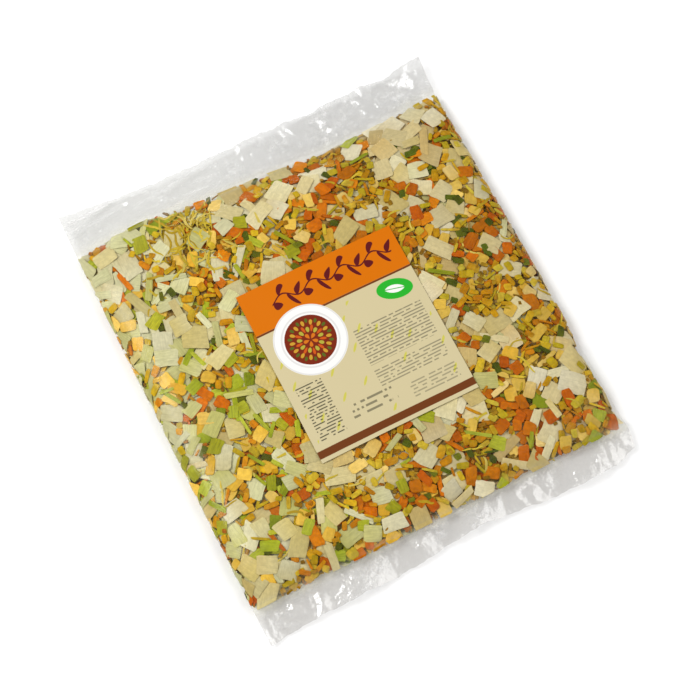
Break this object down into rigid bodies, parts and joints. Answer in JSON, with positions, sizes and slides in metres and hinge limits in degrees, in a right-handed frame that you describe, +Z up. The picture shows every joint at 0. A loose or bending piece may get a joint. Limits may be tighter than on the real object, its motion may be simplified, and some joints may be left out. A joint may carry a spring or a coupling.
{
  "type": "bag of dried soup vegetables",
  "caption": "Flat pillow bag of clear film, filled with dried cut vegetables for soup, with crinkled end flaps and a paper label on top.",
  "frame": {"origin": "under the middle of the bag, on the surface that it lies on", "axes": "+X across the bag, +Y along it from the near end flap to the far one, +Z up through the label"},
  "size_m": [0.2214, 0.2624, 0.0163],
  "materials": {
    "film": "clear glossy plastic film",
    "label_paper": "printed satin paper",
    "pale_flakes": "dried, waxy, fibrous",
    "carrot": "dried, matte",
    "green_leaf": "dried, matte",
    "yellow_shreds": "dried, matte"
  },
  "bodies": {
    "root": {"bag": "film", "label": "label_paper"}
  },
  "joints": []
}
